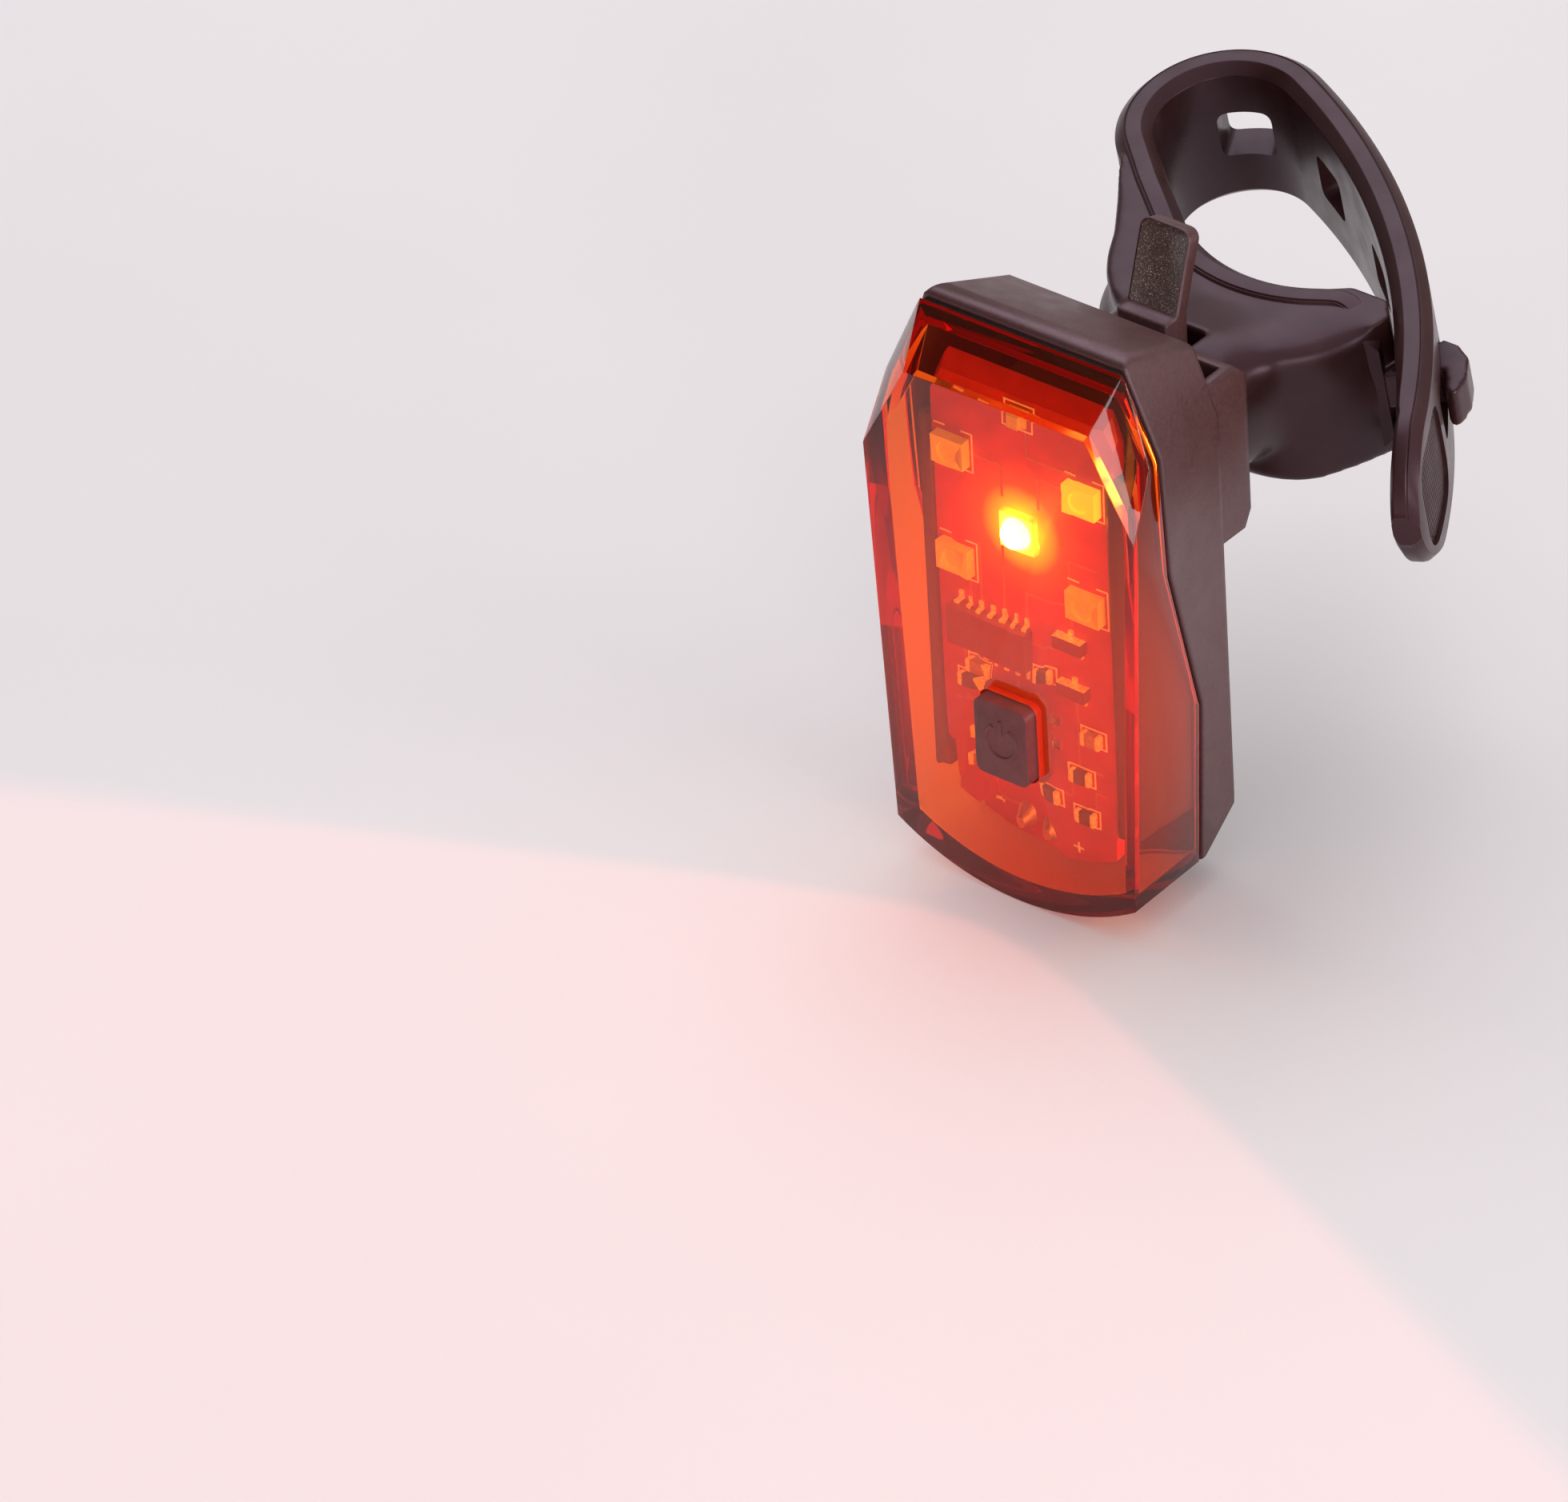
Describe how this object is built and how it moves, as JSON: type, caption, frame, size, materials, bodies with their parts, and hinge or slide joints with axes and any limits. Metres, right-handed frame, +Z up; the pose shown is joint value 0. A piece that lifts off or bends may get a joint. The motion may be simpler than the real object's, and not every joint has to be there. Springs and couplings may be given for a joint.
{
  "type": "bicycle rear light",
  "caption": "Faceted red bicycle rear light with a black housing that clips on a rubber seat-post saddle with a hooked strap.",
  "frame": {"origin": "middle of the saddle's curved seat, where the seat post bears", "axes": "+Z up along the lamp, +Y from the lamp to the post, +X to the hook's side"},
  "size_m": [0.0524, 0.0653, 0.0578],
  "materials": {
    "saddle_rubber": "soft matte moulded rubber",
    "strap_rubber": "soft matte moulded rubber",
    "clip_plastic": "hard satin plastic",
    "lever_plastic": "coarse spark texture",
    "housing_plastic": "fine spark texture",
    "red_lens": "clear red, polished",
    "seal_rubber": "matte",
    "button_rubber": "matte",
    "plunger_plastic": "matte",
    "switch_body": "matte",
    "board_laminate": "solder mask",
    "lit_led": "lit, domed",
    "side_led": "yellow phosphor",
    "indicator_led": "clear",
    "chip_epoxy": "moulded epoxy",
    "resistor_ceramic": "glazed",
    "capacitor_ceramic": "fired ceramic",
    "solder": "bright tin",
    "cell_foil": "laminated foil",
    "pad_foam": "open foam",
    "red_wire": "wire sleeve",
    "black_wire": "wire sleeve",
    "charge_laminate": "solder mask",
    "socket_steel": "stamped",
    "pin_brass": "bright",
    "cover_rubber": "matte"
  },
  "bodies": {
    "bracket": {"saddle": "saddle_rubber", "clip_tongue": "clip_plastic"},
    "latch": {"release_lever": "lever_plastic"},
    "strap_run": {"strap": "strap_rubber"},
    "button": {"power_button": "button_rubber", "switch_plunger": "plunger_plastic"},
    "port_cover": {"charge_cover": "cover_rubber"},
    "lamp": {"rear_housing": "housing_plastic", "front_lens": "red_lens", "lens_seal": "seal_rubber", "tact_switch": "switch_body", "circuit_board": "board_laminate", "main_led": "lit_led", "upper_left_led": "side_led", "upper_right_led": "side_led", "lower_left_led": "side_led", "lower_right_led": "side_led", "indicator_led": "indicator_led", "controller_chip": "chip_epoxy", "transistors": "chip_epoxy", "resistors": "resistor_ceramic", "capacitors": "capacitor_ceramic", "solder_joints": "solder", "battery_cell": "cell_foil", "battery_pad": "pad_foam", "positive_lead": "red_wire", "negative_lead": "black_wire", "charge_board": "charge_laminate", "charge_socket": "socket_steel", "link_pins": "pin_brass"}
  },
  "joints": [
    {"name": "lamp_slide", "type": "slide", "parent": "bracket", "child": "lamp", "axis": [0, 0, 1], "range_m": [0, 0.016]},
    {"name": "latch_pivot", "type": "hinge", "parent": "bracket", "child": "latch", "pos_m": [0, -0.0155, 0.0018], "axis": [-1, 0, 0], "range_deg": [0, 7], "stiffness_Nm_per_rad": 0.4},
    {"name": "strap_swing", "type": "hinge", "parent": "bracket", "child": "strap_run", "pos_m": [-0.01035, 0.02428, 0.00472], "axis": [0, -0.1908, 0.9816], "range_deg": [0, 70], "stiffness_Nm_per_rad": 0.03},
    {"name": "button_press", "type": "slide", "parent": "lamp", "child": "button", "axis": [0, 1, 0], "range_m": [0, 0.00045], "stiffness_N_per_m": 3000},
    {"name": "cover_swing", "type": "hinge", "parent": "lamp", "child": "port_cover", "pos_m": [0, -0.0227, -0.0374], "axis": [1, 0, 0], "range_deg": [0, 105]}
  ]
}
